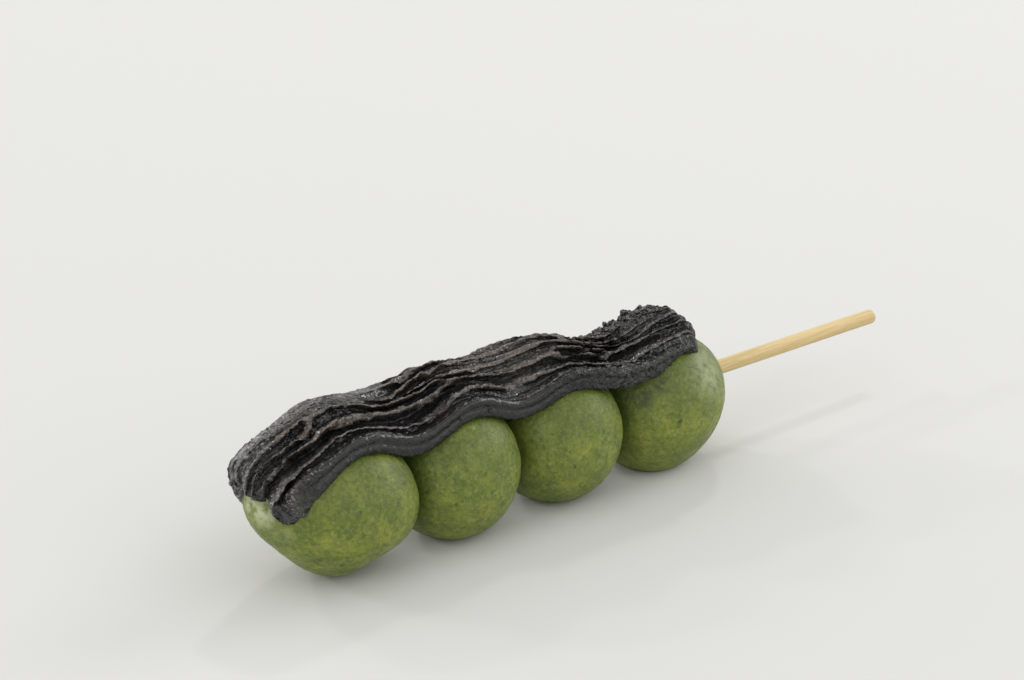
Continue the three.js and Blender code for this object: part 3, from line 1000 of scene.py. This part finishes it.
# How deep the grooves are and how the paste looks: the usual value, then patches of
# (length, phase, reach along, reach across in pitches, change).
reliefMap = {
    "depth": (2.3, (
        (-16, 2.8, 12, 2.6, 0.8),  # the gills over the nose
        (-5, 7.8, 24, 4.2, -3.4),  # the smooth far strip
        (-15, 7.6, 9, 2.6, -1.6),
        (3, 6.6, 13, 3.2, -2.4),
        (41, 5.4, 15, 4.0, -1.9),  # flattened in the middle
        (78, 8.0, 14, 4.0, -2.5),  # the top at the handle end
        (76, 3.5, 14, 4.5, -1.5),
        (85, 4.5, 6, 6.0, -1.5),  # ridges fade out into a rounded end
    )),
    "crumbs": (0.12, (
        (68, 7.7, 13, 3.3, 0.84),
        (62, -0.4, 17, 1.6, 0.40),
        (44, 8.8, 16, 1.5, 0.25),
        (-4, 3.8, 9, 1.6, 0.35),
    )),
    "grain": (0.36, (
        (22, -0.5, 38, 0.9, -0.28),  # the smooth near side
        (-15, 7.6, 8, 3.0, 0.40),
        (12, 8.0, 16, 3.4, -0.22),
    )),
    "brown": (0.20, (
        (-3, 3.9, 11, 2.2, 0.75),
        (16, 4.5, 12, 3.0, 0.45),
        (38, 4.5, 14, 3.0, 0.7),
        (60, 5.0, 8, 2.2, 0.5),
    )),
    # paler paste with a painted sheen, which also lets the painted glints in
    "pale": (0.02, (
        (-2, 7.8, 20, 3.8, 0.26),
        (-17, 7.6, 8, 3.0, 0.60),  # the end of the far strip, with painted sheen and glints
        (-18, 4.2, 6, 2.8, 0.26),
        (-21, 0.0, 4.5, 1.4, 0.19),  # the snout, with painted sheen and glints
        (41, 5.4, 16, 4.0, 0.15),
        (76, 7.6, 14, 3.4, 0.16),
        (70, -0.4, 14, 1.2, 0.10),
    )),
    "shingles": (0.0, (
        (41, 5.2, 17, 4.2, 1.0),
        (74, 7.4, 10, 2.6, 0.6),
        (4, 5.0, 8, 1.6, 0.5),
        (78, 3.8, 8, 2.8, 0.8),
    )),
}
ridgeMap = {
    # A ridge more (1) or less (-1) from one length to another, beside a phase.
    "forks": (
        (-6, 16, 3.5, 1),
        (2, 30, 5.6, -1),
        (24, 50, 2.6, 1),
        (36, 60, 6.4, 1),
        (52, 72, 4.4, -1),
        (60, 80, 2.5, 1),
    ),
    "forkStretch": 3.0,  # mm along for each pitch across
    "forkReach": (0.6, 3.2),  # pitches
    "nearRow": ((1, 1.2), (0.3, 1.0)),  # phases, and the share of the depth there
    # The near row is a full groove along this part of the nose.
    "slot": {"height": 1, "comes": (14.5, 17.5), "goes": (19.0, 21.0), "share": 0.8},
    "leastThickness": 0.5,  # of paste under a groove
}


# Ridges join and part: around each fork's two ends the phase turns by one pitch.
def forkedPhase(grid):
    phase = grid["phase"].copy()
    for start, stop, row, more in ridgeMap["forks"]:
        across = grid["phase"] - row
        turns = [
            np.arctan2(across, (grid["length"] - place) / ridgeMap["forkStretch"])
            for place in (start, stop)
        ]
        nearby = 1 - smoothstep(np.abs(across), *ridgeMap["forkReach"])
        phase += more * (turns[1] - turns[0]) / (2 * np.pi) * nearby
    return phase


def patched(name, grid):
    usual, patches = reliefMap[name]
    value = np.full(len(grid["length"]), usual)
    for length, phase, reachAlong, reachAcross, change in patches:
        along = (grid["length"] - length) / reachAlong
        across = (grid["phase"] - phase) / reachAcross
        value += change * np.exp(-(along ** 2 + across ** 2) ** 2)
    return value


ridgeShape = {
    "Crest thickness": 0.05,  # half of it, in pitches
    "Near wall": 0.19,  # width of the steep wall, in pitches
    "Far wall": 0.36,
    "Full depth": 1.6,  # groove depth from which a crest leans and sways in full
    "Lean": 1.7,  # how far a crest leans to the near side
    "Ragged height": 1.6, "Ragged length": 2.6,
    "Fading": 0.75,  # how much of a crest is missing where it fades
    "Fading length": 9.0,
    "Crinkle": 1.1,  # short waves of a crest's edge
    "Crinkle length": 1.5,
    "Sway": 2.4, "Sway length": 7.0,
    "Grain size": 0.9, "Grain height": 1.1,
    "Clod size": 2.2, "Clod height": 2.8,
    "Shingles": 1.5,  # in a pitch
    "Shingle height": 0.55,
    "Shingle slant": 0.065,  # pitches for each millimetre along
    "Shingle length": 5.0,
    "Shingle wander": 1.3,
}
ridgeNoises = {  # change from row to row, detail
    "Ragged": (1.3, 3.0), "Crinkle": (1.7, 2.0), "Fading": (2.1, 1.0), "Shingle": (0.5, 3.0),
    "Sway": (0.45, 2.0),
}
ridgeGrains = {"Grain": (1.0, 0.5), "Clod": (3.0, 0.6)}  # detail, roughness
ridgeSteps = {
    "roughness": 0.6,  # of the noises along the rows
    "shallow": 0.25,  # how ragged a crest stays where the grooves end
    "fading": (0.05, 0.16),  # noise between which a crest fades
    "lip": 0.16,  # a shingle's steep front, as a share of it
    "rim": (0.18, 0.34),  # its edge, where the painted edge highlight lies
}


def makeRidgeTree():
    tree, value, result = geometryTree("pasteRidges", {**ridgeShape, "Seed": 5.0})
    along, phase, row, shingled, depth, free, crumbly, grainy = (
        namedValue(tree, name)
        for name in ("along", "phase", "row", "shingles", "depth", "free", "crumbs", "grain")
    )
    outDir, acrossDir = (namedValue(tree, name, "FLOAT_VECTOR") for name in ("outDir", "acrossDir"))
    signed = minus(phase, math2("ROUND", phase))
    wall = addNode(tree, "ShaderNodeMix", Factor=math2("GREATER_THAN", signed, 0.0),
                   A=value["Near wall"], B=value["Far wall"]).outputs[0]
    foot = plus(value["Crest thickness"], wall)
    crest = ramp(math2("ABSOLUTE", signed), value["Crest thickness"], foot, 1.0, 0.0)

    def scaled(field, name):
        return times(field, value[name])

    def lineNoise(name):
        change, detail = ridgeNoises[name]
        spot = addNode(tree, "ShaderNodeCombineXYZ", i0=over(along, value[f"{name} length"]),
                       i1=times(row, change), i2=value["Seed"]).outputs[0]
        return noiseField(spot, 1.0, detail, ridgeSteps["roughness"])

    shallow = ramp(depth, 0.0, value["Full depth"], ridgeSteps["shallow"], 1.0)
    ragged = times(scaled(lineNoise("Ragged"), "Ragged height"), crest, shallow)
    crinkle = times(scaled(lineNoise("Crinkle"), "Crinkle"), crest)
    faded = ramp(lineNoise("Fading"), *ridgeSteps["fading"])
    kept = minus(1.0, scaled(faded, "Fading"))
    cut = times(depth, minus(1.0, times(crest, kept)))
    slant = times(along, value["Shingle slant"])
    drift = scaled(lineNoise("Shingle"), "Shingle wander")
    part = math2("FRACT", plus(scaled(plus(row, slant), "Shingles"), drift))
    lip = ramp(part, 0.0, ridgeSteps["lip"])
    shingle = times(lip, minus(1.0, part), shingled)
    rim = times(lip, ramp(part, *ridgeSteps["rim"], 1.0, 0.0), shingled)
    lift = times(plus(minus(ragged, cut), scaled(shingle, "Shingle height")), free)
    sway = scaled(lineNoise("Sway"), "Sway")
    leaning = scaled(minus(0.5, crest), "Lean")
    fully = ramp(depth, 0.0, value["Full depth"])
    sideways = times(plus(sway, leaning, crinkle), fully, free)
    sideways = vector2("SCALE", acrossDir, sideways)
    offset = vector2("ADD", vector2("SCALE", outDir, lift), sideways)
    move = addNode(tree, "GeometryNodeSetPosition", Geometry=value["Geometry"],
                   Offset=vector2("SCALE", offset, mm))
    # crests, the shingles' edges and the slab's lip, where the painted edge highlight lies
    shown = times(larger(crest, rim), free)
    keep = addNode(tree, "GeometryNodeStoreNamedAttribute", {"data_type": "FLOAT", "domain": "POINT"},
                   Geometry=move.outputs[0], Name="crest",
                   Value=larger(namedValue(tree, "lip"), shown))
    place = pointPlace(tree)
    grain, clod = (
        noiseField(place, over(1.0, value[f"{name} size"]), *noise)
        for name, noise in ridgeGrains.items()
    )
    grain = scaled(times(grain, plus(crumbly, grainy)), "Grain height")
    clod = times(scaled(clod, "Clod height"), crumbly)
    worn = raised(keep.outputs[0], plus(grain, clod))
    return endTree(tree, worn, result, "paste")


# The slab's upper edge, with a painted highlight where it runs down over the nose.
def lipHighlightShare(grid):
    near = np.where(grid["kind"] == "near", blend("lipSide", grid["rise"]), 0)
    top = np.where(grid["kind"] == "top", 1 - blend("lipTop", grid["phase"]), 0)
    return np.maximum(near, top) * blend("lip", -grid["length"]) * grid["fullness"]


def makePaste():
    grid = bandGrid()
    mesh = meshFromArrays("paste", grid["points"], bandFaces(grid))
    isTop = grid["kind"] == "top"
    narrow = np.interp(grid["phase"], *ridgeMap["nearRow"])
    narrow = mix(narrow, 1, hump(-grid["length"], **ridgeMap["slot"]))
    depth = np.clip(patched("depth", grid), 0, None) * narrow
    depth = np.minimum(depth, np.maximum(grid["thickness"] - ridgeMap["leastThickness"], 0))
    free = np.where(isTop, grid["fullness"], 0)
    free[(grid["phase"] <= 0) | (grid["phase"] >= len(band["crests"]) - 1)] = 0
    looks = {name: np.clip(patched(name, grid), 0, 1) for name in reliefMap if name != "depth"}
    shows = np.where(grid["kind"] == "under", 0, 1)
    for name in ("crumbs", "grain", "brown", "shingles"):
        looks[name] *= shows
    storeValues(
        mesh, along=grid["length"], row=grid["phase"], phase=forkedPhase(grid), free=free,
        depth=np.where(isTop, depth, 0), lip=lipHighlightShare(grid), outDir=grid["outDir"],
        acrossDir=grid["acrossDir"], **looks,
    )
    piece = addObject("paste", mesh)
    mesh.materials.append(materials["paste"])
    runTree(piece, makeRidgeTree(), ridgeShape)
    outward(piece.data)
    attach(piece, "root")
    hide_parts("sesame_paste")
    return piece


# Loose crumbs of the same paste, thickest where it crumbles.
crumbShape = {
    "Per square mm": 1.1,
    "Smallest": 0.16,  # mm, radius
    "Largest": 0.80,
    "Unevenness": 0.35,
    "Sides": 7,
    "Seed": 8,
}
crumbMake = {
    "gathering": 2.5,  # how strongly they gather where the paste crumbles
    "smallness": 2.5,  # and how few of them are large
    "rings": 5,
    "turns": ((0, 0, 0), (6.28, 6.28, 6.28)),
    "squeezes": ((0.7, 0.7, 0.5), (1.3, 1.1, 0.9)),
    "lumps": (1.6, 1.0),  # scale, detail
}


def makeCrumbTree():
    tree, value, result = geometryTree("pasteCrumbs", crumbShape)
    crumbly = math2("POWER", namedValue(tree, "crumbs"), crumbMake["gathering"])
    density = times(crumbly, value["Per square mm"], 1 / mm ** 2)
    spots = addNode(tree, "GeometryNodeDistributePointsOnFaces", Mesh=value["Geometry"], Density=density,
                    Seed=value["Seed"])
    ball = addNode(tree, "GeometryNodeMeshUVSphere", Segments=value["Sides"], Rings=crumbMake["rings"],
                   Radius=mm)

    def draw(kind, low, high, step):
        return addNode(tree, "FunctionNodeRandomValue", {"data_type": kind}, Min=low, Max=high,
                       Seed=plus(value["Seed"], step)).outputs["Value"]

    small = math2("POWER", draw("FLOAT", 0.0, 1.0, 0.0), crumbMake["smallness"])
    size = ramp(small, 0.0, 1.0, value["Smallest"], value["Largest"], "LINEAR")
    turn = draw("FLOAT_VECTOR", *crumbMake["turns"], 1.0)
    squeeze = draw("FLOAT_VECTOR", *crumbMake["squeezes"], 2.0)
    placed = addNode(tree, "GeometryNodeInstanceOnPoints", Points=spots.outputs["Points"],
                     Instance=ball.outputs["Mesh"], Rotation=turn,
                     Scale=vector2("SCALE", squeeze, size))
    real = addNode(tree, "GeometryNodeRealizeInstances", Geometry=placed.outputs[0])
    lumps = noiseField(pointPlace(tree), *crumbMake["lumps"])
    uneven = raised(real.outputs[0], times(lumps, value["Unevenness"]))
    smooth = addNode(tree, "GeometryNodeSetShadeSmooth", Geometry=uneven.outputs[0])
    return endTree(tree, smooth, result, "paste")


def makeCrumbs(paste):
    piece = addObject("paste_crumbs", paste.data.copy())
    runTree(piece, makeCrumbTree(), crumbShape)
    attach(piece, "root")
    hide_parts("sesame_paste")


paste = makePaste()
print("paste ready")
makeCrumbs(paste)
print("crumbs ready")

# Floor and light.
stage = {"floorSide": 6.0}
lights = {
    "areas": {  # place, size, power
        "window": ((-1.60, 2.40, 2.40), 2.4, 4.0),
        "leftWindow": ((-1.20, 3.00, 0.75), 0.60, 10.0),
        "lowWindow": ((0.36, 3.10, 1.25), 0.70, 6.5),
        "leftGlint": ((-1.24, 1.60, 0.84), 0.13, 5.0),
        "farGlint": ((-0.40, 2.20, 1.56), 0.16, 5.6),
        "rightGlint": ((1.10, 0.90, 1.50), 0.17, 4.4),
        "side": ((1.60, -0.20, 0.80), 0.9, 9.0),
        "leftFill": ((-2.20, -0.40, 0.80), 1.4, 11.0),
        "fill": ((0.60, -1.70, 1.20), 2.0, 10.0),
    },
    "aim": (0, 0, 0.01),
    "world": (1.0, 1.0, 0.99), "worldStrength": 0.86,
}


def makeStage():
    side = stage["floorSide"] / 2
    mesh = bpy.data.meshes.new("floor")
    corners = [(-side, -side, 0), (side, -side, 0), (side, side, 0), (-side, side, 0)]
    mesh.from_pydata(corners, [], [(0, 1, 2, 3)])
    floor = addObject("floor", mesh)
    mesh.materials.append(materials["floor"])
    for name, (place, size, power) in lights["areas"].items():
        data = bpy.data.lights.new(name, "AREA")
        data.size = size
        data.energy = power
        lamp = addObject(name, data)
        lamp.location = place
        aim = Vector(lights["aim"]) - Vector(place)
        lamp.rotation_euler = aim.to_track_quat("-Z", "Y").to_euler()
    world = bpy.data.worlds.new("studio")
    world.use_nodes = True
    background = world.node_tree.nodes["Background"]
    background.inputs["Color"].default_value = (*lights["world"], 1)
    background.inputs["Strength"].default_value = lights["worldStrength"]
    bpy.context.scene.world = world
    bpy.context.scene.view_settings.view_transform = "Standard"


makeStage()
print("stage ready")
